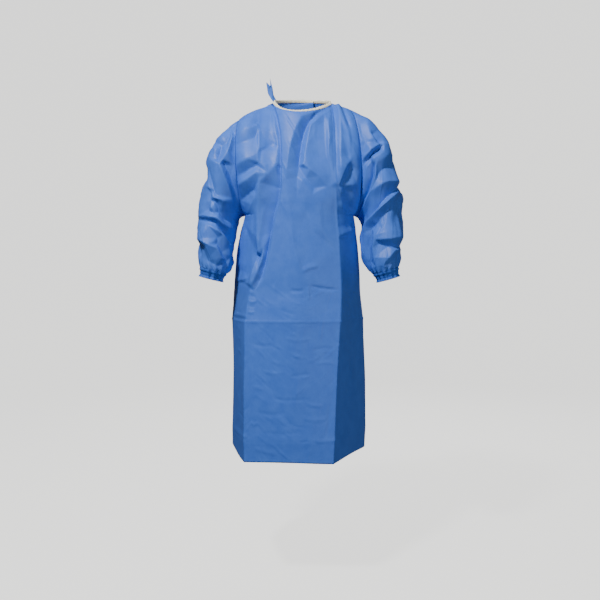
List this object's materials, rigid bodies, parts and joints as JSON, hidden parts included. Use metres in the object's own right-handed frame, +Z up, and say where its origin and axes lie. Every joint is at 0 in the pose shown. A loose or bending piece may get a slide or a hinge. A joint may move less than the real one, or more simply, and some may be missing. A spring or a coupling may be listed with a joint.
{
  "type": "long-sleeved surgical gown, worn",
  "caption": "Worn surgical gown, a hollow cloth form with set-in sleeves, gathered cuffs, bound neck, lapped back and waist ties.",
  "frame": {"origin": "the middle of the neck opening, level with the shoulder seams at the neck, where the wearer holds the gown up", "axes": "+Z up, -Y out of the front of the gown, +X to the right of a viewer who faces the front"},
  "size_m": [0.6644, 0.3838, 1.2178],
  "materials": {
    "cloth": "film-coated nonwoven, low sheen",
    "cuff": "gathered nonwoven over elastic",
    "binding": "soft matte tape",
    "tie": "folded nonwoven, matte"
  },
  "bodies": {
    "root": {"front": "cloth", "back_left": "cloth", "back_right": "cloth", "sleeve_left": "cloth", "sleeve_right": "cloth", "cuff_left": "cuff", "cuff_right": "cuff", "neck_binding": "binding", "neck_tab": "tie", "waist_tie_left": "tie", "waist_tie_right": "tie", "waist_knot": "tie", "tie_end_left": "tie", "tie_end_right": "tie"}
  },
  "joints": []
}
